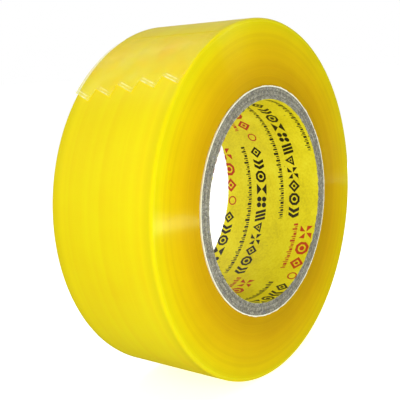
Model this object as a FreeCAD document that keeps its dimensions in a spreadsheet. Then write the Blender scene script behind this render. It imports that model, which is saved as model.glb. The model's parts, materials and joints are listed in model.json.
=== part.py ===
import FreeCAD, Part
import Sketcher
import math
import os

# Roll of film packing tape on a spiral-wound paperboard core.
#
# The roll stands on its rim: the core's axis lies along Y, +Z is up, and the origin is the centre of
# the bore. Every angle about the axis is measured from +X towards +Z, so the top of the roll is at
# 90 degrees. The tape's free end comes down the -X side of the top.

Vec = FreeCAD.Vector

# Driving dimensions: alias, value (millimetres, degrees where the name says so), meaning.
DIMENSIONS = [
    ("core_bore_dia", 76.0, "bore of the core, the standard 76 mm hub size"),
    ("core_length", 46.0, "core, end to end"),
    ("liner_paper", 0.2, "thickness of the printed inner paper"),
    ("board_ply", 0.535, "thickness of one ply of grey board"),
    ("facing_paper", 0.25, "thickness of the pale outer paper"),
    ("glue_line", 0.03, "gap that the glue fills between two plies"),
    ("winding_lead", 113.0, "how far a ply's seam runs along the core in one turn"),
    ("seam_width", 0.35, "gap between the butted edges of a ply, along the core"),
    ("seam_step_deg", 152.0, "turn from one ply's seam to the next ply's"),
    ("roll_dia", 135.0, "outside diameter over the last turn"),
    ("tape_width", 45.0, "width of the tape"),
    ("film", 0.05, "thickness of the film with its adhesive"),
    ("film_gap", 0.02, "air under the last turn"),
    ("peel_line_deg", 112.0, "where the free end leaves the roll"),
    ("end_length", 36.0, "free end, from the peel line to its longest tooth"),
    ("end_lift", 0.5, "how far the longest tooth stands off the roll"),
    ("tooth_rise", 3.6, "how far each tooth reaches past its own notch"),
    ("tooth_back", 0.8, "width of a tooth's short, steep edge"),
    ("cut_slant", 1.55, "how much shorter each notch is than the one before"),
]
BOARD_PLIES = 8
TEETH = 5
CUT_MARGIN = 2.0

doc = FreeCAD.newDocument("PackingTapeRoll")
sheet = doc.addObject("Spreadsheet::Sheet", "Dimensions")
for row, (alias, size, meaning) in enumerate(DIMENSIONS, start=1):
    sheet.set(f"A{row}", meaning)
    sheet.set(f"B{row}", str(size))
    sheet.setAlias(f"B{row}", alias)
doc.recompute()

# Expressions on the sheet that more than one sub-part uses.
DIM = "Dimensions."
BORE_RADIUS = f"({DIM}core_bore_dia / 2)"
BOARD_START = f"({BORE_RADIUS} + {DIM}liner_paper + {DIM}glue_line)"
BOARD_STEP = f"({DIM}board_ply + {DIM}glue_line)"
FACING_START = f"({BOARD_START} + {BOARD_PLIES} * {BOARD_STEP})"
CORE_RADIUS = f"({FACING_START} + {DIM}facing_paper)"
FILM_STEP = f"({DIM}film + {DIM}film_gap)"
PACK_RADIUS = f"({DIM}roll_dia / 2 - 2 * {FILM_STEP})"
HALF_WIDTH = f"({DIM}tape_width / 2)"
# The end's inner face: its radius at the peel line, and the slacker radius that lifts its teeth.
END_RADIUS = f"({DIM}roll_dia / 2 - {DIM}film)"
SLACK_RADIUS = f"(1 / (1 / {END_RADIUS} - 2 * {DIM}end_lift / {DIM}end_length ^ 2))"


def value(expression):
    """The number that an expression on the sheet gives now."""
    return float(sheet.evalExpression(expression))


def new_body(label):
    body = doc.addObject("PartDesign::Body", label)
    body.Label = label
    return body


def origin_feature(body, role):
    return next(feature for feature in body.Origin.OriginFeatures if feature.Role == role)


def new_sketch(body, name, plane_role):
    sketch = body.newObject("Sketcher::SketchObject", name)
    sketch.AttachmentSupport = [(origin_feature(body, plane_role), "")]
    sketch.MapMode = "FlatFace"
    return sketch


def constrain(sketch, constraint, expression):
    """Add a dimension and bind it to the sheet."""
    index = sketch.addConstraint(constraint)
    sketch.setExpression(f"Constraints[{index}]", expression)


def turn_about_axis(body, angle):
    """Turn a body about the core's axis, from +X towards +Z, by an expression in degrees."""
    body.Placement = FreeCAD.Placement(Vec(0, 0, 0), FreeCAD.Rotation(Vec(0, -1, 0), 1.0))
    body.setExpression("Placement.Rotation.Angle", angle)


def add_circle(sketch, radius):
    circle = sketch.addGeometry(Part.Circle(Vec(0, 0, 0), Vec(0, 0, 1), value(radius)))
    sketch.addConstraint(Sketcher.Constraint("Coincident", circle, 3, -1, 1))
    constrain(sketch, Sketcher.Constraint("Radius", circle, value(radius)), radius)


def add_polygon(sketch, corners):
    """Closed outline; each corner is a pair of expressions measured from the sketch's origin."""
    points = [Vec(value(x), value(y), 0) for x, y in corners]
    count = len(points)
    lines = [
        sketch.addGeometry(Part.LineSegment(points[i], points[(i + 1) % count]))
        for i in range(count)
    ]
    for i, (x, y) in enumerate(corners):
        sketch.addConstraint(Sketcher.Constraint("Coincident", lines[i - 1], 2, lines[i], 1))
        constrain(sketch, Sketcher.Constraint("DistanceX", -1, 1, lines[i], 1, points[i].x), x)
        constrain(sketch, Sketcher.Constraint("DistanceY", -1, 1, lines[i], 1, points[i].y), y)


def add_rectangle(sketch, x_low, x_high, y_low, y_high):
    add_polygon(sketch, [(x_low, y_low), (x_high, y_low), (x_high, y_high), (x_low, y_high)])


def add_climbing_turn(sketch, radius, climb):
    """Two half circles, counter-clockwise from +X, that end the climb further out than they start.

    The second one's centre lies half the climb from the origin, so the halves meet smoothly.
    """
    start = value(radius)
    shift = value(climb) / 2
    axis = Vec(0, 0, 1)
    first = sketch.addGeometry(Part.ArcOfCircle(Part.Circle(Vec(0, 0, 0), axis, start), 0, math.pi))
    wider = Part.Circle(Vec(shift, 0, 0), axis, start + shift)
    second = sketch.addGeometry(Part.ArcOfCircle(wider, math.pi, 2 * math.pi))
    sketch.addConstraint(Sketcher.Constraint("Coincident", first, 3, -1, 1))
    sketch.addConstraint(Sketcher.Constraint("PointOnObject", first, 1, -1))
    sketch.addConstraint(Sketcher.Constraint("PointOnObject", first, 2, -1))
    constrain(sketch, Sketcher.Constraint("Radius", first, start), radius)
    sketch.addConstraint(Sketcher.Constraint("PointOnObject", second, 3, -1))
    constrain(sketch, Sketcher.Constraint("DistanceX", -1, 1, second, 3, shift), f"{climb} / 2")
    sketch.addConstraint(Sketcher.Constraint("Coincident", first, 2, second, 1))
    sketch.addConstraint(Sketcher.Constraint("PointOnObject", second, 2, -1))
    return first, second


def add_joining_line(sketch, start, end):
    """Line between two ends of other edges, each given as an edge and which of its points."""
    points = [sketch.getPoint(*corner) for corner in (start, end)]
    line = sketch.addGeometry(Part.LineSegment(*points))
    for line_end, corner in ((1, start), (2, end)):
        sketch.addConstraint(Sketcher.Constraint("Coincident", line, line_end, *corner))
    return line


def add_ring(body, inner, outer, length):
    """Pad a ring about the core's axis, centred on the origin."""
    sketch = new_sketch(body, "RingProfile", "XZ_Plane")
    add_circle(sketch, inner)
    add_circle(sketch, outer)
    pad = body.newObject("PartDesign::Pad", "Ring")
    pad.Profile = sketch
    pad.SideType = "Symmetric"
    pad.setExpression("Length", length)
    doc.recompute()
    return pad


def core_ply(label, inner, thickness, order):
    """One strip of the core: a ring cut through by the helical seam where the strip's edges butt."""
    outer = f"({inner} + {thickness})"
    body = new_body(label)
    ring = add_ring(body, inner, outer, f"{DIM}core_length")
    sketch = new_sketch(body, "SeamProfile", "XY_Plane")
    start = f"(-{DIM}core_length / 2 - {CUT_MARGIN})"
    add_rectangle(
        sketch,
        f"{inner} - {thickness} / 2",
        f"{outer} + {thickness} / 2",
        start,
        f"{start} + {DIM}seam_width",
    )
    seam = body.newObject("PartDesign::SubtractiveHelix", "Seam")
    seam.Profile = sketch
    seam.ReferenceAxis = (origin_feature(body, "Y_Axis"), [""])
    seam.Mode = "pitch-height-angle"
    seam.setExpression("Pitch", f"{DIM}winding_lead")
    seam.setExpression("Height", f"{DIM}core_length + {2 * CUT_MARGIN}")
    turn_about_axis(body, f"{DIM}seam_step_deg * {order}")
    doc.recompute()
    if not seam.Shape.Volume < ring.Shape.Volume - 1.0:
        raise RuntimeError(f"{label}: the seam cuts nothing")
    return body


def wound_pack():
    """All the turns of tape but the last, pressed into one ring with square edges."""
    body = new_body("tape_wound_pack")
    add_ring(body, f"{CORE_RADIUS} + {DIM}glue_line", PACK_RADIUS, f"{DIM}tape_width")
    return body


def last_turn():
    """The outermost turn: film that climbs one film step on its way round to the peel line."""
    body = new_body("tape_last_turn")
    sketch = new_sketch(body, "FilmProfile", "XZ_Plane")
    inner = f"({PACK_RADIUS} + {DIM}film_gap)"
    under = add_climbing_turn(sketch, inner, FILM_STEP)
    over = add_climbing_turn(sketch, f"({inner} + {DIM}film)", FILM_STEP)
    add_joining_line(sketch, (under[0], 1), (over[0], 1))
    add_joining_line(sketch, (under[1], 2), (over[1], 2))
    pad = body.newObject("PartDesign::Pad", "Film")
    pad.Profile = sketch
    pad.SideType = "Symmetric"
    pad.setExpression("Length", f"{DIM}tape_width")
    turn_about_axis(body, f"{DIM}peel_line_deg")
    return body


def add_end_profile(sketch):
    """Thin band of two concentric arcs that starts on the sketch's vertical axis."""
    radius = value(SLACK_RADIUS)
    film = value(f"{DIM}film")
    centre = Vec(0, value(END_RADIUS) - radius, 0)
    sweep = value(f"{DIM}end_length") / radius

    def arc(arc_radius):
        circle = Part.Circle(centre, Vec(0, 0, 1), arc_radius)
        return sketch.addGeometry(Part.ArcOfCircle(circle, math.pi / 2, math.pi / 2 + sweep))

    def point_at(arc_radius, angle):
        return centre + Vec(-arc_radius * math.sin(angle), arc_radius * math.cos(angle), 0)

    under = arc(radius)
    over = arc(radius + film)
    root = sketch.addGeometry(Part.LineSegment(point_at(radius, 0), point_at(radius + film, 0)))
    tip = sketch.addGeometry(Part.LineSegment(point_at(radius, sweep), point_at(radius + film, sweep)))
    for line, arc_end in ((root, 1), (tip, 2)):
        sketch.addConstraint(Sketcher.Constraint("Coincident", line, 1, under, arc_end))
        sketch.addConstraint(Sketcher.Constraint("Coincident", line, 2, over, arc_end))
    sketch.addConstraint(Sketcher.Constraint("Coincident", under, 3, over, 3))
    sketch.addConstraint(Sketcher.Constraint("PointOnObject", under, 3, -2))
    sketch.addConstraint(Sketcher.Constraint("PointOnObject", root, 1, -2))
    constrain(sketch, Sketcher.Constraint("DistanceY", -1, 1, root, 1, centre.y + radius), END_RADIUS)
    constrain(sketch, Sketcher.Constraint("Radius", under, radius), SLACK_RADIUS)
    constrain(sketch, Sketcher.Constraint("Radius", over, radius + film), f"{SLACK_RADIUS} + {DIM}film")
    constrain(
        sketch,
        Sketcher.Constraint("DistanceX", -1, 1, tip, 1, point_at(radius, sweep).x),
        f"-{SLACK_RADIUS} * sin({DIM}end_length / {SLACK_RADIUS} * 1 rad)",
    )


def tooth_outline():
    """Everything past the saw-tooth cut, seen from above; the teeth run from +Y to -Y."""
    pitch = f"({DIM}tape_width / {TEETH})"
    first_notch = f"({DIM}end_length - {DIM}tooth_rise)"

    def across(length):
        return f"-{SLACK_RADIUS} * sin(({length}) / {SLACK_RADIUS} * 1 rad)"

    def notch(index):
        return across(f"{first_notch} - {index} * {DIM}cut_slant"), f"{HALF_WIDTH} - {index} * {pitch}"

    def tooth(index):
        return (
            across(f"{DIM}end_length - {index} * {DIM}cut_slant"),
            f"{HALF_WIDTH} - {index + 1} * {pitch} + {DIM}tooth_back",
        )

    far_side = f"{HALF_WIDTH} + {CUT_MARGIN}"
    near_side = f"-{HALF_WIDTH} - {CUT_MARGIN}"
    beyond = f"-{DIM}end_length - {CUT_MARGIN}"
    outline = [(beyond, far_side), (notch(0)[0], far_side)]
    for index in range(TEETH):
        outline += [notch(index), tooth(index)]
    outline += [notch(TEETH), (notch(TEETH)[0], near_side), (beyond, near_side)]
    return outline


def free_end():
    """The end that peels: a slack strip of film with the slanted saw-tooth edge of a tape cutter."""
    body = new_body("tape_free_end")
    profile = new_sketch(body, "EndSection", "XZ_Plane")
    add_end_profile(profile)
    strip = body.newObject("PartDesign::Pad", "Strip")
    strip.Profile = profile
    strip.SideType = "Symmetric"
    strip.setExpression("Length", f"{DIM}tape_width")
    doc.recompute()
    teeth = new_sketch(body, "ToothOutline", "XY_Plane")
    add_polygon(teeth, tooth_outline())
    cut = body.newObject("PartDesign::Pocket", "SawTeeth")
    cut.Profile = teeth
    cut.SideType = "Symmetric"
    cut.setExpression("Length", f"2 * {DIM}roll_dia")
    turn_about_axis(body, f"{DIM}peel_line_deg - 90")
    doc.recompute()
    if not cut.Shape.Volume < strip.Shape.Volume - 1.0:
        raise RuntimeError("tape_free_end: the teeth cut nothing")
    return body


def build_core():
    plies = [core_ply("bore_liner_paper", BORE_RADIUS, f"{DIM}liner_paper", 0)]
    for index in range(BOARD_PLIES):
        inner = f"({BOARD_START} + {index} * {BOARD_STEP})"
        plies.append(core_ply(f"core_board_ply_{index + 1}", inner, f"{DIM}board_ply", index + 1))
    plies.append(core_ply("core_facing_paper", FACING_START, f"{DIM}facing_paper", BOARD_PLIES + 1))
    return plies


def check_document():
    for item in doc.Objects:
        if {"Invalid", "Error"} & set(item.State):
            raise RuntimeError(f"{item.Name} failed: {item.State}")


def check_shape(part):
    shape = part.Shape
    if shape.isNull() or not shape.isValid() or len(shape.Solids) != 1:
        raise RuntimeError(f"{part.Label} isn't one valid solid")


parts = build_core() + [wound_pack(), last_turn(), free_end()]
doc.recompute()
check_document()
for part in parts:
    check_shape(part)
os.makedirs("parts", exist_ok=True)
for part in parts:
    part.Shape.exportStep(f"parts/{part.Label}.step")
    print(f"{part.Label}: {part.Shape.Volume:.1f} mm3")
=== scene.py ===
import json
import math

import bmesh
import bpy
from mathutils import Matrix, Vector, noise


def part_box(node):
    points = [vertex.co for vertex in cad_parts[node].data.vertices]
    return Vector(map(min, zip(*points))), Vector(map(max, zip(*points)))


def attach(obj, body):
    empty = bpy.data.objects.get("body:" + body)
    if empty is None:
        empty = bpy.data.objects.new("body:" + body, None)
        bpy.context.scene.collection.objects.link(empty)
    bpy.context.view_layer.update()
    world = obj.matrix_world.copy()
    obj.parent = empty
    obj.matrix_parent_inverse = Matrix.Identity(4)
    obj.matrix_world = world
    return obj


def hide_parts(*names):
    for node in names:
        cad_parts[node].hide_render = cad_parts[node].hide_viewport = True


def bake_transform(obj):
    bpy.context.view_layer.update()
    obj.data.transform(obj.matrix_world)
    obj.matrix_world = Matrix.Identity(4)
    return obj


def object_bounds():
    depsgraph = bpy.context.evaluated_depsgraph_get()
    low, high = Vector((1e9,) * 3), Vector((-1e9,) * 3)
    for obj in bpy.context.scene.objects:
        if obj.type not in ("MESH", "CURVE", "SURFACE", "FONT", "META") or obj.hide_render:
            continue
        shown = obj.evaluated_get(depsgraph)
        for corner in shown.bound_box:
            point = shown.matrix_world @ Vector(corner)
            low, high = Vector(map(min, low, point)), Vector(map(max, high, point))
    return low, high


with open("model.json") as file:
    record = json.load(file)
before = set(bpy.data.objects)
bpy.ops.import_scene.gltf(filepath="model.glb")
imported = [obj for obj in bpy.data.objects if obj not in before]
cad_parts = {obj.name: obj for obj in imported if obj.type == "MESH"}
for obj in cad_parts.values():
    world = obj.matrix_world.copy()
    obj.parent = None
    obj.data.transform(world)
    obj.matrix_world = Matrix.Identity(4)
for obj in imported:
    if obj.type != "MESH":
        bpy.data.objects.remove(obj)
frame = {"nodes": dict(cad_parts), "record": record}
cad_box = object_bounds()

# A roll of clear yellow packing tape on a spiral-wound paper core. The core's axis lies along Y, the
# origin is the centre of the bore, and angles about the axis run from +X towards +Z. Lengths named here
# are in millimetres, and MM turns them into the scene's metres.

MM = 0.001
RECORD = frame["record"]
JOINT = RECORD["behaviour"]["joints"][0]
MOUNTS = {mount["name"]: mount for mount in RECORD["mounts"]}


def node_radii(node):
    """Smallest and largest distance of a CAD node's vertices from the core's axis, in millimetres."""
    radii = [math.hypot(v.co.x, v.co.z) / MM for v in frame["nodes"][node].data.vertices]
    return min(radii), max(radii)


def half_length(node):
    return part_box(node)[1].y / MM


BORE_RADIUS = MOUNTS["core_bore"]["dims"]["r_mm"]
CORE_HALF = MOUNTS["core_bore"]["dims"]["length_mm"] / 2
TAPE_HALF = half_length("tape_wound_pack")
PACK_INNER, PACK_OUTER = node_radii("tape_wound_pack")
ROLL_RADIUS = node_radii("tape_last_turn")[1]
PEEL_POINT = Vector(JOINT["pos_m"])
PEEL_ANGLE = math.atan2(PEEL_POINT.z, PEEL_POINT.x)
# one layer of film, and how far each turn stands outside the one before it
FILM = 0.05
FILM_STEP = 0.07
# the core's helical seams: their lead, the Y where the first one's line crosses +X, how far each
# winding's seam is turned from the one inside it, and the gap between a seam's lips
SEAM_LEAD = 113.0
SEAM_START = -25.0
SEAM_STEP = math.radians(152.0)
SEAM_GAP_ANGLE = math.radians(0.3)
BOARD_PLIES = sorted(node for node in frame["nodes"] if node.startswith("core_board_ply_"))


# ---------------------------------------------------------------- mesh building

def smoothstep(low, high, value):
    t = min(max((value - low) / (high - low), 0.0), 1.0)
    return t * t * (3 - 2 * t)


def polar(radius, angle, y):
    """Point in metres from a radius and Y in millimetres and an angle about the core's axis."""
    return Vector((radius * math.cos(angle), y, radius * math.sin(angle))) * MM


def spaced(low, high, count):
    """Evenly spaced numbers from low to high, both included."""
    return [low + (high - low) * i / (count - 1) for i in range(count)]


def fbm(x, y, z, octaves=3):
    """Layered smooth noise, about -1 to 1."""
    total, scale, weight = 0.0, 1.0, 1.0
    for _ in range(octaves):
        total += weight * noise.noise(Vector((x * scale, y * scale, z * scale)))
        scale *= 2.1
        weight *= 0.5
    return total


def object_from(name, bm, material, smooth_angle=35.0):
    """Finish a bmesh as a piece: normals out, smooth except across sharp edges, one material."""
    bmesh.ops.recalc_face_normals(bm, faces=bm.faces)
    sharp = math.radians(smooth_angle)
    for face in bm.faces:
        face.smooth = True
    for edge in bm.edges:
        edge.smooth = len(edge.link_faces) == 2 and edge.calc_face_angle() < sharp
    mesh = bpy.data.meshes.new(name)
    bm.to_mesh(mesh)
    bm.free()
    piece = bpy.data.objects.new(name, mesh)
    bpy.context.scene.collection.objects.link(piece)
    mesh.materials.append(material)
    return piece


def loops_to_bmesh(loops, closed):
    """Skin a list of equal loops of points. Each loop is closed; so is the list, or its ends are capped."""
    bm = bmesh.new()
    rows = [[bm.verts.new(point) for point in loop] for loop in loops]
    count = len(rows[0])
    pairs = list(zip(rows, rows[1:]))
    if closed:
        pairs.append((rows[-1], rows[0]))
    for near, far in pairs:
        for i in range(count):
            j = (i + 1) % count
            bm.faces.new((near[i], near[j], far[j], far[i]))
    if not closed:
        bm.faces.new(rows[0])
        bm.faces.new(rows[-1])
    return bm


# ---------------------------------------------------------------- materials

def srgb(red, green, blue):
    """Linear colour from 8-bit display values."""
    def channel(value):
        value /= 255
        return value / 12.92 if value <= 0.04045 else ((value + 0.055) / 1.055) ** 2.4
    return (channel(red), channel(green), channel(blue), 1.0)


def join(tree, value, socket):
    """Link a node's output to a socket, or set the socket to a plain value."""
    if isinstance(value, bpy.types.NodeSocket):
        tree.links.new(value, socket)
    else:
        socket.default_value = value


class Material:
    """A Principled material and short calls for the nodes that feed it."""

    def __init__(self, name, **settings):
        self.material = bpy.data.materials.new(name)
        self.material.use_nodes = True
        self.tree = self.material.node_tree
        self.shader = self.tree.nodes["Principled BSDF"]
        for socket, value in settings.items():
            self.shader.inputs[socket.replace("_", " ")].default_value = value
        self.position = self.node("ShaderNodeTexCoord").outputs["Object"]

    def node(self, kind, **settings):
        made = self.tree.nodes.new(kind)
        for key, value in settings.items():
            setattr(made, key, value)
        return made

    def link(self, source, target):
        self.tree.links.new(source, target)

    def feed(self, made, **inputs):
        """Set or link a node's inputs by name, with underscores for spaces."""
        for key, value in inputs.items():
            join(self.tree, value, made.inputs[key.replace("_", " ")])
        return made

    def math(self, operation, first, second=0.0):
        made = self.node("ShaderNodeMath", operation=operation)
        for socket, value in zip(made.inputs, (first, second)):
            join(self.tree, value, socket)
        return made.outputs[0]

    def polar(self):
        """Radius and angle about the core's axis, and Y, all in metres and radians."""
        parts = self.node("ShaderNodeSeparateXYZ")
        self.link(self.position, parts.inputs[0])
        x, y, z = parts.outputs
        squares = self.math("ADD", self.math("MULTIPLY", x, x), self.math("MULTIPLY", z, z))
        return self.math("SQRT", squares), self.math("ARCTAN2", z, x), y

    def noise(self, scale, detail=3.0, roughness=0.5, distortion=0.0):
        made = self.node("ShaderNodeTexNoise")
        self.feed(made, Vector=self.position, Scale=scale, Detail=detail)
        self.feed(made, Roughness=roughness, Distortion=distortion)
        return made.outputs["Fac"]

    def noise_of(self, value, scale, detail=3.0):
        """Noise along one number, such as a radius."""
        made = self.node("ShaderNodeTexNoise", noise_dimensions="1D")
        self.feed(made, W=value, Scale=scale, Detail=detail)
        return made.outputs["Fac"]

    def span(self, value, low, high, to_low=0.0, to_high=1.0):
        made = self.node("ShaderNodeMapRange")
        self.feed(made, Value=value, From_Min=low, From_Max=high, To_Min=to_low, To_Max=to_high)
        return made.outputs["Result"]

    def ramp(self, value, stops):
        """Colour ramp from (place, colour) pairs."""
        made = self.node("ShaderNodeValToRGB")
        elements = made.color_ramp.elements
        elements.remove(elements[1])
        for index, (place, colour) in enumerate(stops):
            element = elements[0] if index == 0 else elements.new(place)
            element.position = place
            element.color = colour
        self.link(value, made.inputs["Fac"])
        return made.outputs["Color"]

    def mix(self, factor, first, second, blend="MIX"):
        made = self.node("ShaderNodeMix", data_type="RGBA", blend_type=blend)
        # the node has a socket of each name for every kind of data; these are the colour ones
        factor_socket, first_socket, second_socket = made.inputs[0], made.inputs[6], made.inputs[7]
        join(self.tree, factor, factor_socket)
        join(self.tree, first, first_socket)
        join(self.tree, second, second_socket)
        return made.outputs[2]

    def bump(self, height, distance, strength=1.0):
        made = self.node("ShaderNodeBump")
        self.feed(made, Height=height, Distance=distance * MM, Strength=strength)
        self.link(made.outputs["Normal"], self.shader.inputs["Normal"])

    def colour(self, socket):
        self.link(socket, self.shader.inputs["Base Color"])

    def roughness(self, socket):
        self.link(socket, self.shader.inputs["Roughness"])


# the outer surface, from its paler bands to its deeper ones, and the painted shade along its two edges
LEMON = srgb(252, 232, 14)
LEMON_LOW = srgb(247, 215, 8)
EDGE_SHADE = srgb(230, 212, 9)
# the side of the winding, from the rim in to the core, and the tint of its darker rings
RIM = srgb(236, 219, 11)
YELLOW = srgb(236, 205, 5)
GOLD = srgb(234, 193, 4)
AMBER = srgb(224, 177, 4)
DEEP = srgb(210, 164, 5)
SHADE = srgb(242, 236, 200)
# painted light and shade: the side's colours lean towards the rim's, paler, on one side of the roll
# and towards the core's, deeper, opposite it, as where more light falls on one side
PAINTED_LIGHT_SIDE = math.radians(145.0)
PAINTED_LIGHT_SHIFT = 0.1
# the width of the painted shade bands along the two edges of the outer surface
EDGE_BAND = 5.0
# how far in from the pack's rim the outer surface's colours start and end
RIM_FROM, RIM_TO = 2.6, 0.2


def wound_side_colour(m, radius, angle):
    """Deeper gold towards the core, fine and broad rings, and painted light and shade round the roll."""
    depth = m.span(radius, PACK_INNER * MM, PACK_OUTER * MM)
    waver = m.noise(22.0, detail=2.0)
    # painted light and shade: the ramp is pushed paler on the lit side of the roll and deeper opposite it
    painted_light = m.math("MULTIPLY", m.math("COSINE", m.math("SUBTRACT", angle, PAINTED_LIGHT_SIDE)), PAINTED_LIGHT_SHIFT)
    wavering = m.math("ADD", m.math("ADD", depth, painted_light), m.span(waver, 0.0, 1.0, -0.1, 0.04))
    side = m.ramp(wavering, [(0.03, DEEP), (0.29, AMBER), (0.53, GOLD), (0.78, YELLOW), (0.96, RIM)])
    rings = m.noise_of(radius, 2600.0, detail=4.0)
    shade = m.mix(1.0, side, SHADE, "MULTIPLY")
    side = m.mix(m.span(rings, 0.35, 0.75, 0.0, 0.5), side, shade)
    broad = m.math("ADD", m.noise_of(radius, 420.0, detail=3.0), m.noise(55.0, detail=4.0))
    return m.mix(m.span(broad, 0.8, 1.25, 0.0, 0.8), side, shade)


def wound_outer_colour(m, y):
    """Lemon in bands along the tape and cloudy patches, with painted shade, a darker yellow, at its two
    edges.
    """
    across = m.math("ABSOLUTE", y)
    edge = m.span(across, (TAPE_HALF - EDGE_BAND) * MM, TAPE_HALF * MM)
    bands = m.noise_of(y, 260.0, detail=3.0)
    patches = m.noise(34.0, detail=4.0)
    clouds = m.math("ADD", m.span(bands, 0.3, 0.7, 0.0, 0.5), m.span(patches, 0.3, 0.7, 0.0, 0.5))
    outer = m.ramp(clouds, [(0.0, LEMON_LOW), (1.0, LEMON)])
    # painted shade: a darker yellow near the tape's edges tones down the light on the rounded rim
    return m.mix(edge, outer, EDGE_SHADE)


def wound_tape_material():
    """Pressed film that light spreads in. Its side is finely grooved, so lamps streak across the turns."""
    m = Material(
        "wound_tape",
        Subsurface_Weight=0.35,
        Subsurface_Radius=(1.0, 0.75, 0.08),
        Subsurface_Scale=2.0 * MM,
        Specular_IOR_Level=0.35,
        Specular_Tint=(0.8, 1.0, 0.25, 1.0),
        Anisotropic=1.0,
        Anisotropic_Rotation=0.25,
    )
    radius, angle, y = m.polar()
    side = wound_side_colour(m, radius, angle)
    outer = wound_outer_colour(m, y)
    on_rim = m.span(radius, (PACK_OUTER - RIM_FROM) * MM, (PACK_OUTER - RIM_TO) * MM)
    m.colour(m.mix(on_rim, side, outer))
    smooth_side = m.span(m.noise(60.0, detail=3.0), 0.3, 0.7, 0.16, 0.2)
    m.roughness(m.math("ADD", smooth_side, m.math("MULTIPLY", on_rim, 0.18)))
    tangent = m.node("ShaderNodeTangent", direction_type="RADIAL", axis="Y")
    m.link(tangent.outputs[0], m.shader.inputs["Tangent"])
    grooves = m.noise_of(radius, 9000.0, detail=2.0)
    m.bump(m.math("MULTIPLY", grooves, m.math("SUBTRACT", 1.0, on_rim)), 0.012, 1.0)
    return m.material


def film_material():
    """One layer of film: clear at the peel line, milky further along, with painted glints behind its cut.
    """
    m = Material("tape_film", Roughness=0.16, Specular_IOR_Level=0.35)
    air = m.noise(90.0, detail=4.0, roughness=0.6)
    cloud = m.noise(30.0, detail=2.0)
    along = m.node("ShaderNodeAttribute", attribute_name="along").outputs["Fac"]
    painted_glint_mask = m.node("ShaderNodeAttribute", attribute_name="painted_glint").outputs["Fac"]
    patchy = m.span(m.noise(260.0, detail=2.0), 0.3, 0.6, 0.45, 1.0)
    # painted highlight: pale glint lines along the teeth, patchy along their length
    painted_white = m.math("MULTIPLY", painted_glint_mask, patchy)
    film = m.ramp(air, [(0.35, LEMON_LOW), (0.5, srgb(238, 228, 40)), (0.75, srgb(244, 242, 96))])
    # the painted highlight turns the film pale and opaque along its lines
    m.colour(m.mix(painted_white, film, srgb(255, 253, 196)))
    milky = m.math("MULTIPLY", m.span(cloud, 0.3, 0.7, 0.2, 0.5), m.span(along, 0.05, 0.5))
    m.link(m.math("MAXIMUM", milky, painted_white), m.shader.inputs["Alpha"])
    m.bump(air, 0.03, 0.4)
    return m.material


def board_material(index):
    """Grey recycled board: pulp with pale, dark and coloured fibres, in three shades by turns."""
    shade = 1.0 - 0.07 * (index % 3)
    m = Material(f"grey_board_{index}", Roughness=0.95, Specular_IOR_Level=0.15)
    pulp = m.noise(900.0, detail=5.0, roughness=0.7)
    flecks = m.noise(2600.0, detail=2.0)
    tint = m.noise(1500.0, detail=1.0, distortion=0.6)
    grey = m.ramp(pulp, [
        (0.3, srgb(104 * shade, 99 * shade, 91 * shade)),
        (0.5, srgb(150 * shade, 143 * shade, 130 * shade)),
        (0.7, srgb(192 * shade, 186 * shade, 170 * shade)),
    ])
    grey = m.mix(m.span(flecks, 0.62, 0.7), grey, srgb(70, 64, 66))
    grey = m.mix(m.span(flecks, 0.36, 0.28), grey, srgb(226, 221, 210))
    grey = m.mix(m.span(tint, 0.64, 0.72, 0.0, 0.6), grey, srgb(128, 122, 160))
    m.colour(grey)
    m.bump(pulp, 0.12, 0.8)
    return m.material


def facing_material():
    """Matt cream paper, mottled by its fibres."""
    m = Material("facing_paper", Roughness=0.8, Specular_IOR_Level=0.25)
    fibres = m.noise(700.0, detail=5.0, roughness=0.65)
    cloud = m.noise(70.0, detail=3.0)
    tone = m.math("ADD", m.math("MULTIPLY", fibres, 0.6), m.math("MULTIPLY", cloud, 0.4))
    cream = [(0.3, srgb(246, 236, 206)), (0.5, srgb(254, 249, 230)), (0.7, srgb(255, 254, 246))]
    m.colour(m.ramp(tone, cream))
    m.bump(fibres, 0.05, 0.6)
    return m.material


def liner_material():
    """Yellow paper, smooth and slightly mottled."""
    m = Material("printed_liner", Roughness=0.5, Specular_IOR_Level=0.4)
    fibres = m.noise(1100.0, detail=4.0, roughness=0.6)
    cloud = m.noise(85.0, detail=3.0)
    tone = m.math("ADD", m.math("MULTIPLY", fibres, 0.45), m.math("MULTIPLY", cloud, 0.55))
    face = m.ramp(tone, [(0.36, srgb(222, 204, 14)), (0.5, srgb(238, 222, 22)), (0.66, srgb(246, 234, 48))])
    speck = m.noise(330.0, detail=0.0)
    face = m.mix(m.span(speck, 0.86, 0.88, 0.0, 0.6), face, srgb(120, 92, 20))
    m.colour(face)
    m.roughness(m.span(cloud, 0.3, 0.7, 0.42, 0.6))
    m.bump(fibres, 0.03, 0.5)
    return m.material


def ink_material(name, full, thin):
    """Ink on paper, thinner where the paper's grain shows through."""
    m = Material(name, Roughness=0.45, Specular_IOR_Level=0.4)
    grain = m.noise(1300.0, detail=4.0, roughness=0.7)
    m.colour(m.ramp(grain, [(0.42, full), (0.66, full), (0.8, thin)]))
    m.bump(grain, 0.02, 0.4)
    return m.material


# ---------------------------------------------------------------- core

CORE_COLUMNS = 900
# a vertex nearer than this to the core's end, or to a winding's outside, is taken to lie on it
ON_SURFACE = 0.01


def seam_angle(y, order=0):
    """Where a winding's helical seam crosses the line at y. It falls as y grows."""
    return order * SEAM_STEP - math.tau * (y - SEAM_START) / SEAM_LEAD


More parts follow.
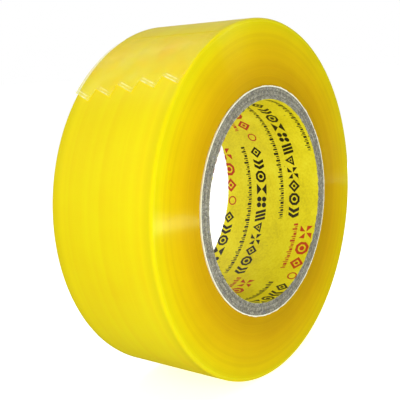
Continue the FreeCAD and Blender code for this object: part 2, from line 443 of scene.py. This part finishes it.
def unrolled_slab(inner, outer, order, across, lip):
    """A winding laid flat, as (angle, y, radius), long enough to reach past both lips of its seam."""
    low, high = seam_angle(CORE_HALF, order), seam_angle(-CORE_HALF, order) + math.tau
    thick = spaced(inner, outer, across)
    section = [(-CORE_HALF, r) for r in thick] + [(CORE_HALF, r) for r in reversed(thick)]
    if lip:
        section[across:across] = [(lip - CORE_HALF, outer), (CORE_HALF - lip, outer)]
    steps = round(CORE_COLUMNS * (high - low) / math.tau)
    loops = [[Vector((angle, y, r)) for y, r in section] for angle in spaced(low, high, steps + 1)]
    return loops_to_bmesh(loops, closed=False)


def cut_along_seam(bm, order):
    """Trim the flat slab to one turn, leaving the seam's narrow gap between its two lips."""
    lean = Vector((1.0, math.tau / SEAM_LEAD, 0.0))
    first = Vector((order * SEAM_STEP + SEAM_GAP_ANGLE / 2, SEAM_START, 0.0))
    last = first + Vector((math.tau - SEAM_GAP_ANGLE, 0.0, 0.0))
    for point, before in ((first, True), (last, False)):
        everything = list(bm.verts) + list(bm.edges) + list(bm.faces)
        bmesh.ops.bisect_plane(bm, geom=everything, plane_co=point, plane_no=lean,
                               clear_inner=before, clear_outer=not before)
        bmesh.ops.holes_fill(bm, edges=[edge for edge in bm.edges if edge.is_boundary], sides=0)


def end_curl(angle, y, order):
    """How much of its full flare a lip has here, 0.1 to 1."""
    return min(max(0.55 + 0.9 * fbm(angle * 14.0, y, order, octaves=3), 0.1), 1.0)


def end_dent(angle, y, r, order, grain):
    """How deep the rough cut is dented here, as a share of its fray."""
    return max(0.5 + 0.6 * fbm(r * grain, angle * r * grain, order * 7.0 + y, octaves=2), 0.0)


def core_piece(node, order, material, across, fray=0.16, grain=1.7, lip=0.0, flare=0.0):
    """A helical winding of the core, across vertices thick, with rough cut ends.

    Fray and grain say how deep and how fine the roughness is. With a lip, the outside of the last
    lip millimetres at each end curls out by up to flare.
    """
    inner, outer = node_radii(node)
    bm = unrolled_slab(inner, outer, order, across, lip)
    cut_along_seam(bm, order)
    for vert in bm.verts:
        angle, y, r = vert.co
        if CORE_HALF - abs(y) < ON_SURFACE:
            if flare and outer - r < ON_SURFACE:
                r += flare * end_curl(angle, y, order)
            y -= math.copysign(fray * end_dent(angle, y, r, order, grain), y)
        vert.co = polar(r, angle, y)
    piece = object_from(f"{node}_strip", bm, material)
    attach(piece, "roll")
    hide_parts(node)
    return piece


def build_core():
    liner = core_piece("bore_liner_paper", 0, liner_material(), across=2, fray=0.55, grain=0.5)
    for index, node in enumerate(BOARD_PLIES):
        ply = core_piece(node, index + 1, board_material(index), across=4)
    facing = core_piece("core_facing_paper", len(BOARD_PLIES) + 1, facing_material(),
                        across=2, fray=0.03, lip=0.42, flare=0.3)


# ---------------------------------------------------------------- printed marks on the liner

# One repeat of the print, along the paper (u) and across it (v), in millimetres: three large red marks
# and a small one, then a row of eleven black marks, with a line of short bars beside each.
REPEAT_ALONG = Vector((93.5, -10.7))
REPEAT_ACROSS = Vector((-30.5, -15.2))
REPEATS_ALONG, REPEATS_ACROSS = range(-3, 4), range(-6, 7)
ROW_SLOPE = math.radians(2.2)
FIRST_ROW = Vector((-BORE_RADIUS * math.radians(25.6) - 30.0, 6.8))
RED_PITCH, RED_SIZE = 7.3, 6.2
BLACK_START, BLACK_PITCH, BLACK_SIZE, BLACK_COUNT = 30.0, 5.64, 5.5, 11
RED_LINE_END, RED_LINE_ACROSS, BLACK_LINE_ACROSS = 21.5, 5.2, 6.2
SMALL_RING_PLACE, SMALL_RING_SIZE = Vector((25.2, -0.9)), 4.2
# the short bars: their lengths and heights by turns, the gap between them, how far their tops lean
# over, and how far they reach below their line
BAR_LENGTHS = (0.9, 0.35, 0.7, 0.35, 1.1, 0.5, 0.4)
BAR_HEIGHTS = (1.9, 1.3, 2.2, 1.5, 1.3)
BAR_GAP, BAR_LEAN, BAR_DROP = 0.42, 0.25, 0.95
INK_GAP, INK_THICKNESS = 0.012, 0.02
# marks are cut into slices this wide to bend round the bore, and corners nearer than WELD are joined
SLICE, WELD = 0.8, 0.002
PRINT_EDGE = CORE_HALF - 0.12
# the print goes once round, less a few degrees, measured from the seam's helix
PRINT_FROM, PRINT_TO = math.radians(-150), math.radians(206)


def scaled(shape, centre, size):
    """A shape drawn from -1 to 1, brought to its size and place."""
    return [[centre + Vector(corner) * size / 2 for corner in polygon] for polygon in shape]


def ring_shape(corners, hole):
    """A regular outline with a smaller hole of the same form, as quads round it."""
    angles = [math.tau * (i + 0.5) / corners for i in range(corners)]
    outer = [Vector((math.cos(angle), math.sin(angle))) for angle in angles]
    quads = []
    for i in range(corners):
        first, second = outer[i], outer[(i + 1) % corners]
        quads.append([first, second, second * hole, first * hole])
    return quads


def turned(shape, angle):
    turn = Matrix.Rotation(angle, 2)
    return [[turn @ Vector(corner) for corner in polygon] for polygon in shape]


def disc(corners, size, centre=(0.0, 0.0)):
    angles = [math.tau * i / corners for i in range(corners)]
    return [[Vector(centre) + Vector((math.cos(angle), math.sin(angle))) * size for angle in angles]]


HOURGLASS = [[(-0.9, -0.9), (0.9, -0.9), (0, -0.05)], [(-0.9, 0.9), (0, 0.05), (0.9, 0.9)]]
SLANTS = [[(x - 0.52, -0.9), (x - 0.1, -0.9), (x + 0.42, 0.9), (x, 0.9)] for x in (-0.45, 0.15, 0.75)]
CHEVRONS = [
    half
    for x in (-0.85, -0.05)
    for half in (
        [(x, -0.9), (x + 0.5, -0.9), (x + 0.95, 0), (x + 0.45, 0)],
        [(x, 0.9), (x + 0.45, 0), (x + 0.95, 0), (x + 0.5, 0.9)],
    )
]
PINWHEEL = [
    polygon
    for quarter in range(4)
    for polygon in turned([[(0.08, 0.08), (0.9, 0.08), (0.9, 0.9)]], quarter * math.pi / 2)
]
PETALS = [petal for x in (-0.46, 0.46) for y in (-0.46, 0.46) for petal in disc(8, 0.42, (x, y))]
SUN = ring_shape(8, 0.6) + disc(8, 0.36)
GEM = turned(ring_shape(4, 0.55), math.pi / 4) + turned(disc(4, 0.3), math.pi / 4)
DART = turned(ring_shape(3, 0.5), math.pi / 6) + disc(6, 0.2)
BLACK_MARKS = [GEM, CHEVRONS, SUN, HOURGLASS, PETALS, SLANTS, DART, PINWHEEL, GEM, SUN, CHEVRONS]
RED_MARKS = [PINWHEEL, SUN, GEM]


def bars(start, end, across):
    """A line of short slanting bars of uneven length and height."""
    shapes, place, index = [], start, 0
    while place < end:
        length = min(BAR_LENGTHS[index % len(BAR_LENGTHS)], end - place)
        height = BAR_HEIGHTS[index % len(BAR_HEIGHTS)]
        low, high = across - BAR_DROP, across - BAR_DROP + height
        foot = [(place, low), (place + length, low)]
        head = [(place + length + BAR_LEAN, high), (place + BAR_LEAN, high)]
        shapes.append([Vector(corner) for corner in foot + head])
        place += length + BAR_GAP
        index += 1
    return shapes


def repeat_marks():
    """The polygons of one repeat, red and black, in its own (u, v)."""
    red = bars(0.0, RED_LINE_END, RED_LINE_ACROSS)
    for index, shape in enumerate(RED_MARKS):
        red += scaled(shape, Vector((RED_PITCH * (index + 0.5), 0)), RED_SIZE)
    red += scaled(ring_shape(10, 0.72), SMALL_RING_PLACE, SMALL_RING_SIZE)
    black = bars(BLACK_START, BLACK_START + BLACK_PITCH * BLACK_COUNT, BLACK_LINE_ACROSS)
    for index, shape in enumerate(BLACK_MARKS):
        black += scaled(shape, Vector((BLACK_START + BLACK_PITCH * (index + 0.5), 0)), BLACK_SIZE)
    return red, black


def clipped(polygon, axis, limit, keep_below):
    """The part of a convex polygon on one side of a line across one axis."""
    kept = []
    sign = 1.0 if keep_below else -1.0
    for i, point in enumerate(polygon):
        before = polygon[i - 1]
        inside = sign * (limit - point[axis]) >= 0
        was_inside = sign * (limit - before[axis]) >= 0
        if inside != was_inside:
            share = (limit - before[axis]) / (point[axis] - before[axis])
            kept.append(before.lerp(point, share))
        if inside:
            kept.append(point)
    return kept


def slices(polygon):
    """Cut a convex polygon into narrow strips, so that it can bend round the bore."""
    low = math.floor(min(p[0] for p in polygon) / SLICE)
    high = math.ceil(max(p[0] for p in polygon) / SLICE)
    for index in range(low, high):
        piece = clipped(clipped(polygon, 0, index * SLICE, False), 0, (index + 1) * SLICE, True)
        if len(piece) > 2:
            yield piece


def repeat_origins():
    """Where each repeat of the print starts on the unrolled liner, as distance down and Y.

    They reach past the liner on every side, and placed() drops what falls outside it.
    """
    for along in REPEATS_ALONG:
        for across in REPEATS_ACROSS:
            yield FIRST_ROW + REPEAT_ALONG * along + REPEAT_ACROSS * across


def placed(polygons, origin):
    """Marks of one repeat on the unrolled liner, once round it, cut off at the core's ends."""
    turn = Matrix.Rotation(-ROW_SLOPE, 2)
    for polygon in polygons:
        corners = [origin + turn @ corner for corner in polygon]
        middle = sum(corners, Vector((0, 0))) / len(corners)
        angle = -middle[0] / BORE_RADIUS - seam_angle(middle[1])
        if not PRINT_FROM < angle < PRINT_TO:
            continue
        corners = clipped(corners, 1, PRINT_EDGE, True)
        corners = clipped(corners, 1, -PRINT_EDGE, False) if len(corners) > 2 else corners
        if len(corners) > 2:
            yield corners


def ink_piece(name, polygons, material):
    """Thin closed patches of ink that follow the wall of the bore."""
    bm = bmesh.new()
    for origin in repeat_origins():
        for polygon in placed(polygons, origin):
            for strip in slices(polygon):
                verts = [bm.verts.new(polar(BORE_RADIUS - INK_GAP, -u / BORE_RADIUS, v)) for u, v in strip]
                bm.faces.new(verts)
    bmesh.ops.remove_doubles(bm, verts=bm.verts, dist=WELD * MM)
    bmesh.ops.dissolve_degenerate(bm, dist=WELD * MM, edges=bm.edges)
    shell = bmesh.ops.extrude_face_region(bm, geom=list(bm.faces))
    lifted = [item for item in shell["geom"] if isinstance(item, bmesh.types.BMVert)]
    shrink = 1 - INK_THICKNESS / (BORE_RADIUS - INK_GAP)
    for vert in lifted:
        vert.co.x *= shrink
        vert.co.z *= shrink
    piece = object_from(name, bm, material)
    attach(piece, "roll")


def build_print():
    red, black = repeat_marks()
    ink_piece("print_red", red, ink_material("ink_red", srgb(196, 62, 20), srgb(214, 120, 24)))
    ink_piece("print_black", black, ink_material("ink_black", srgb(44, 36, 12), srgb(120, 104, 20)))


# ---------------------------------------------------------------- tape

# the wound tape's two edges are rounded a little
RIM_ROUND, ROUND_STEPS = 1.2, 5
COLUMNS, FACE_ROWS, OUTER_ROWS = 360, 76, 46
# the outer surface is sunk by this much, so that it stays inside the CAD model's box
SUNK = 0.03
# only the outermost part of the side, from this far in, follows the last turn's climb
CLIMB_BAND = 1.5
# depths of the outer surface's bands along the tape and of its slow waves, and how far from the
# tape's edges they take to reach their full depth
BAND_DEPTH, WAVE_DEPTH, BAND_FADE = 0.03, 0.02, 2.0
# depths of the side's fine rings, broad rings and slow waves
FINE_DEPTH, BROAD_DEPTH, SLOW_DEPTH = 0.05, 0.12, 0.10
# wound vertices nearer than this are joined
TAPE_WELD = 0.001


def hoop_ripple(angle, y):
    """How far the outer turns sink below true round, in millimetres: faint bands along the tape."""
    bands = fbm(y * 0.16, 3.0, 0.0) * 0.5 + 0.5
    slow = fbm(math.cos(angle) * 1.6, math.sin(angle) * 1.6, y * 0.05) * 0.5 + 0.5
    return BAND_DEPTH * min(max(bands, 0.0), 1.0) + WAVE_DEPTH * min(max(slow, 0.0), 1.0)


def side_relief(radius, angle, side):
    """How far the wound film's edges stand back from the face, in millimetres."""
    fine = abs(noise.noise(Vector((radius * 1.9, side * 5.0, 0.0))))
    broad = 0.5 + 0.5 * noise.noise(Vector((radius * 0.33, side * 9.0, 2.0)))
    round_roll = Vector((math.cos(angle) * 1.2 + radius * 0.06, math.sin(angle) * 1.2, side * 3.0))
    slow = 0.5 + 0.5 * noise.noise(round_roll)
    return FINE_DEPTH * fine + BROAD_DEPTH * broad + SLOW_DEPTH * slow


def tape_section():
    """Outline of the wound tape as (radius, y, kind), up one face, across the rim and down the other."""
    radial = spaced(PACK_INNER, PACK_OUTER - RIM_ROUND, FACE_ROWS)
    outline = []
    for side in (-1, 1):
        face = [(r, side * TAPE_HALF, "face") for r in radial]
        corner = [
            (PACK_OUTER - RIM_ROUND + RIM_ROUND * math.sin(a),
             side * (TAPE_HALF - RIM_ROUND + RIM_ROUND * math.cos(a)), "rim")
            for a in spaced(0.0, math.pi / 2, ROUND_STEPS)[1:]
        ]
        half = face + corner
        outline += half if side < 0 else list(reversed(half))
        if side < 0:
            flat = spaced(-TAPE_HALF + RIM_ROUND, TAPE_HALF - RIM_ROUND, OUTER_ROWS)[1:-1]
            outline += [(PACK_OUTER, y, "rim") for y in flat]
    return outline


def wound_point(r, y, kind, share):
    """A point of the outline carried round the roll by a share of a turn from the peel line."""
    angle = PEEL_ANGLE + math.tau * share
    side = math.copysign(1.0, y)
    back = 0.0
    if kind == "face":
        back = side_relief(r, angle, side)
    turn_base = ROLL_RADIUS - FILM_STEP - PACK_OUTER
    reach = smoothstep(PACK_OUTER - CLIMB_BAND, PACK_OUTER - RIM_ROUND, r)
    grown = r + reach * (turn_base - SUNK + FILM_STEP * share)
    if kind == "rim":
        grown -= hoop_ripple(angle, y) * smoothstep(0.0, BAND_FADE, TAPE_HALF - abs(y))
    return polar(grown, angle, y - side * back)


def build_wound_tape():
    """The wound tape out to its last turn, which climbs one film step round to the peel line."""
    section = tape_section()
    loops = [[wound_point(*place, column / COLUMNS) for place in section] for column in range(COLUMNS + 1)]
    bm = loops_to_bmesh(loops, closed=True)
    bmesh.ops.remove_doubles(bm, verts=bm.verts, dist=TAPE_WELD * MM)
    bmesh.ops.dissolve_degenerate(bm, dist=TAPE_WELD * MM, edges=bm.edges)
    piece = object_from("wound_tape", bm, wound_tape_material(), smooth_angle=50)
    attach(piece, "roll")
    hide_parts("tape_wound_pack", "tape_last_turn")


# the free end as the CAD has it: its length, the height and slant of its teeth, how much each tooth
# shortens it, and how far its end stands off the roll
TEETH = 5
END_LENGTH, TOOTH_RISE, TOOTH_BACK, CUT_SLANT, END_LIFT = 36.0, 3.6, 0.8, 1.55, 0.5
LONG_FLANK_STEPS, SHORT_FLANK_STEPS = 10, 2
# small waves behind the cut: their height and pitch, where their crest lies, and where they fade out
RIPPLE_HEIGHT, RIPPLE_PITCH, RIPPLE_CREST = 0.07, 2.0, 0.2
RIPPLE_FADE = (1.2, 3.6)
# slow waves in the slack film: the height, how far they may dip, and where along the film they grow
FLUTTER_HEIGHT, FLUTTER_DIP = 0.10, 0.05
FLUTTER_GROWS = (8.0, 28.0)
# the two painted highlight lines: how far behind the cut each one lies, and its width
GLINT_LINES = ((0.25, 0.42), (1.45, 0.38))
# where along a tooth's long flank they fade in and out
GLINT_STARTS, GLINT_ENDS = (-0.05, 0.25), (0.8, 1.05)
# the film's last millimetres have finer rows
FINE_LENGTH, FINE_ROWS, PLAIN_ROWS = 4.0, 32, 20


def cut_line():
    """The saw-tooth edge as (y, distance from the peel line), from the far side to the near one."""
    pitch = 2 * TAPE_HALF / TEETH
    corners = []
    for index in range(TEETH):
        notch = END_LENGTH - TOOTH_RISE - index * CUT_SLANT
        corners.append((TAPE_HALF - index * pitch, notch))
        corners.append((TAPE_HALF - (index + 1) * pitch + TOOTH_BACK, notch + TOOTH_RISE))
    corners.append((-TAPE_HALF, END_LENGTH - TOOTH_RISE - TEETH * CUT_SLANT))
    line = []
    for index, ((y0, s0), (y1, s1)) in enumerate(zip(corners, corners[1:])):
        steps = LONG_FLANK_STEPS if index % 2 == 0 else SHORT_FLANK_STEPS
        line += [(y0 + (y1 - y0) * i / steps, s0 + (s1 - s0) * i / steps) for i in range(steps)]
    return line + [corners[-1]]


def painted_glint(column, from_cut):
    """How much painted highlight lies here, 0 to 1: two pale lines along each tooth's long flank."""
    tooth, place = divmod(column, LONG_FLANK_STEPS + SHORT_FLANK_STEPS)
    along_flank = place / LONG_FLANK_STEPS
    taper = smoothstep(*GLINT_STARTS, along_flank) * (1 - smoothstep(*GLINT_ENDS, along_flank))
    total = 0.0
    for line, (middle, width) in enumerate(GLINT_LINES):
        uneven = 0.7 + 0.6 * noise.noise(Vector((tooth * 3.7, along_flank * 2.5, line * 5.0)))
        total += uneven * math.exp(-((from_cut - middle) / width) ** 2)
    return min(taper * total, 1.0)


def film_height(y, along, from_cut):
    """How far the free end stands off its smooth curl, in millimetres, with ripples behind its cut."""
    flutter = FLUTTER_HEIGHT * fbm(y * 0.22, along * 0.12, 4.0) * smoothstep(*FLUTTER_GROWS, along)
    crest = 0.5 + 0.5 * math.cos(math.tau * (from_cut - RIPPLE_CREST) / RIPPLE_PITCH)
    ripple = RIPPLE_HEIGHT * crest * (1 - smoothstep(*RIPPLE_FADE, from_cut))
    return max(flutter, -FLUTTER_DIP) + ripple


def film_rows(edge):
    """How far along the film each row's vertices lie, row by row, for the columns of the cut edge."""
    plain = [i / PLAIN_ROWS for i in range(PLAIN_ROWS)]
    behind = [FINE_LENGTH * (1 - i / FINE_ROWS) for i in range(FINE_ROWS + 1)]
    rows = [[(length - FINE_LENGTH) * share for _, length in edge] for share in plain]
    return rows + [[length - back for _, length in edge] for back in behind]


def film_bmesh(edge, film_point):
    """The film as a closed sheet one layer thick, with its place and its painted glint kept on each vertex.
    """
    half = len(edge)
    bm = bmesh.new()
    # each vertex keeps how far along the film it lies and how much painted highlight it carries
    place, painted_white = bm.verts.layers.float.new("along"), bm.verts.layers.float.new("painted_glint")
    grid = []
    for row in film_rows(edge):
        verts = []
        for layer, columns in ((0, range(half)), (1, reversed(range(half)))):
            for column in columns:
                y, length = edge[column]
                vert = bm.verts.new(film_point(y, row[column], length, layer))
                vert[place] = row[column] / length
                vert[painted_white] = painted_glint(column, length - row[column])
                verts.append(vert)
        grid.append(verts)
    count = 2 * half
    for near, far in zip(grid, grid[1:]):
        for i in range(count):
            j = (i + 1) % count
            bm.faces.new((near[i], near[j], far[j], far[i]))
    for loop in (grid[0], grid[-1]):
        for i in range(half - 1):
            bm.faces.new((loop[i], loop[i + 1], loop[count - 2 - i], loop[count - 1 - i]))
    return bm


def build_free_end():
    """The end of the tape: slack film that lies along the roll and lifts a little at its teeth."""
    root = ROLL_RADIUS - FILM
    # the curl's radius is the one that has left the roll by END_LIFT after END_LENGTH
    slack = 1 / (1 / root - 2 * END_LIFT / END_LENGTH ** 2)
    centre = Vector((math.cos(PEEL_ANGLE), 0, math.sin(PEEL_ANGLE))) * (root - slack)

    def film_point(y, along, length, layer):
        reach = slack + FILM * layer + film_height(y, along, length - along)
        angle = PEEL_ANGLE + along / slack
        return (centre + Vector((reach * math.cos(angle), y, reach * math.sin(angle)))) * MM

    bm = film_bmesh(cut_line(), film_point)
    piece = object_from("free_end_film", bm, film_material(), smooth_angle=60)
    # clear film takes almost no light from the tape under it
    piece.visible_shadow = False
    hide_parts("tape_free_end")
    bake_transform(piece)


# ---------------------------------------------------------------- camera, light and floor

CAMERA_TARGET = Vector((-5.0, 6.3, -0.4)) * MM
CAMERA_PLACE = Vector((-232.2, -168.6, 49.2)) * MM
CAMERA_ROLL = math.radians(-2.93)
LENS, SENSOR = 66.49, 36.0
WHITE = (1.0, 1.0, 1.0)
KEY_COLOUR = (0.92, 1.0, 0.8)
GLINT_COLOUR = (0.7, 1.0, 0.9)
FLOOR_SIZE, FLOOR_GLOW = 30.0, 0.66


def build_camera():
    data = bpy.data.cameras.new("camera")
    data.lens = LENS
    data.sensor_width = SENSOR
    data.clip_start = 0.01
    camera = bpy.data.objects.new("camera", data)
    bpy.context.scene.collection.objects.link(camera)
    look = (CAMERA_TARGET - CAMERA_PLACE).to_track_quat("-Z", "Y").to_matrix()
    rolled = look @ Matrix.Rotation(CAMERA_ROLL, 3, "Z")
    camera.matrix_world = Matrix.Translation(CAMERA_PLACE) @ rolled.to_4x4()
    bpy.context.scene.camera = camera


def softbox(name, place, size, power, colour=WHITE, mirrored=True):
    """Rectangular lamp aimed at the roll; place and size in metres. Only a mirrored one shows in gloss."""
    data = bpy.data.lights.new(name, "AREA")
    data.shape = "RECTANGLE"
    data.size, data.size_y = size
    data.energy = power
    data.color = colour
    lamp = bpy.data.objects.new(name, data)
    lamp.location = place
    lamp.visible_camera = False
    lamp.visible_glossy = mirrored
    lamp.rotation_euler = (-Vector(place)).to_track_quat("-Z", "Y").to_euler()
    bpy.context.scene.collection.objects.link(lamp)


def build_lamps():
    softbox("key", (-0.16, -0.19, 0.02), (0.12, 0.12), 0.3, KEY_COLOUR, mirrored=False)
    # three small lamps, each for one of the radial glints on the side of the winding
    softbox("glint_left", (0.22, -0.46, -0.1), (0.1, 0.01), 0.24, GLINT_COLOUR)
    softbox("glint_right", (0.542, -0.122, -0.075), (0.05, 0.01), 0.007, GLINT_COLOUR)
    softbox("glint_top", (0.36, -0.335, 0.2), (0.01, 0.08), 0.14, GLINT_COLOUR)
    softbox("overhead", (-0.2, 0.1, 0.8), (0.5, 0.5), 2.2)
    softbox("fill_right", (0.6, 0.1, -0.02), (0.3, 0.3), 1.7, mirrored=False)
    softbox("fill_back", (-0.1, 0.7, 0.05), (0.5, 0.5), 0.9, mirrored=False)
    softbox("back_strip", (0.22, 0.53, 0.58), (0.3, 0.03), 0.04)


def brightness_towards(tree, axis, behind, ahead, start, end):
    """Brightness that runs from behind to ahead as a direction's cosine to the axis goes start to end."""
    direction = tree.nodes.new("ShaderNodeTexCoord").outputs["Generated"]
    cosine = tree.nodes.new("ShaderNodeVectorMath")
    cosine.operation = "DOT_PRODUCT"
    cosine.inputs[1].default_value = Vector(axis).normalized()
    tree.links.new(direction, cosine.inputs[0])
    made = tree.nodes.new("ShaderNodeMapRange")
    values = {"From Min": start, "From Max": end, "To Min": behind, "To Max": ahead}
    for socket, value in values.items():
        made.inputs[socket].default_value = value
    tree.links.new(cosine.outputs["Value"], made.inputs["Value"])
    return made.outputs["Result"]


def choose(tree, factor, first, second):
    """The first number where the factor is 0, the second where it is 1."""
    made = tree.nodes.new("ShaderNodeMix")
    for socket, value in zip((made.inputs[0], made.inputs[2], made.inputs[3]), (factor, first, second)):
        join(tree, value, socket)
    return made.outputs[0]


def build_world():
    """A white room: seen at full brightness, and dimmer in some directions as a source of light.

    It lights the roll mostly from below, where the white table is, and a little from the left. In
    gloss it shows mostly from behind and above.
    """
    world = bpy.data.worlds.new("studio")
    world.use_nodes = True
    tree = world.node_tree
    path = tree.nodes.new("ShaderNodeLightPath")
    spread_light = brightness_towards(tree, (-0.4, 0.0, -0.92), 0.2, 0.98, -1.0, 1.0)
    reflected = brightness_towards(tree, (0.0, 0.45, 0.9), 0.05, 0.8, 0.12, 0.5)
    lighting = choose(tree, path.outputs["Is Glossy Ray"], spread_light, reflected)
    background = tree.nodes["Background"]
    background.inputs["Color"].default_value = (*WHITE, 1.0)
    seen = choose(tree, path.outputs["Is Camera Ray"], lighting, 1.0)
    tree.links.new(seen, background.inputs["Strength"])
    bpy.context.scene.world = world
    bpy.context.scene.view_settings.view_transform = "Standard"


def build_floor():
    """Pale studio floor at the roll's lowest point, lit a little from within like a light table."""
    level = cad_box[0].z
    bm = bmesh.new()
    bmesh.ops.create_grid(bm, x_segments=8, y_segments=8, size=FLOOR_SIZE)
    for vert in bm.verts:
        vert.co.z = level
    m = Material("studio_floor", Roughness=0.8, Specular_IOR_Level=0.1, Emission_Strength=FLOOR_GLOW)
    m.shader.inputs["Emission Color"].default_value = (*WHITE, 1.0)
    m.colour(m.ramp(m.noise(6.0), [(0.3, srgb(250, 250, 249)), (0.7, srgb(254, 254, 254))]))
    floor = object_from("studio_floor", bm, m.material)
    # the room's light, not the floor, reaches the roll from below, as off a white sweep
    floor.visible_diffuse = False
    floor.visible_glossy = False
    floor.visible_shadow = False


build_camera()
build_lamps()
build_world()
build_floor()
build_core()
build_print()
build_wound_tape()
build_free_end()
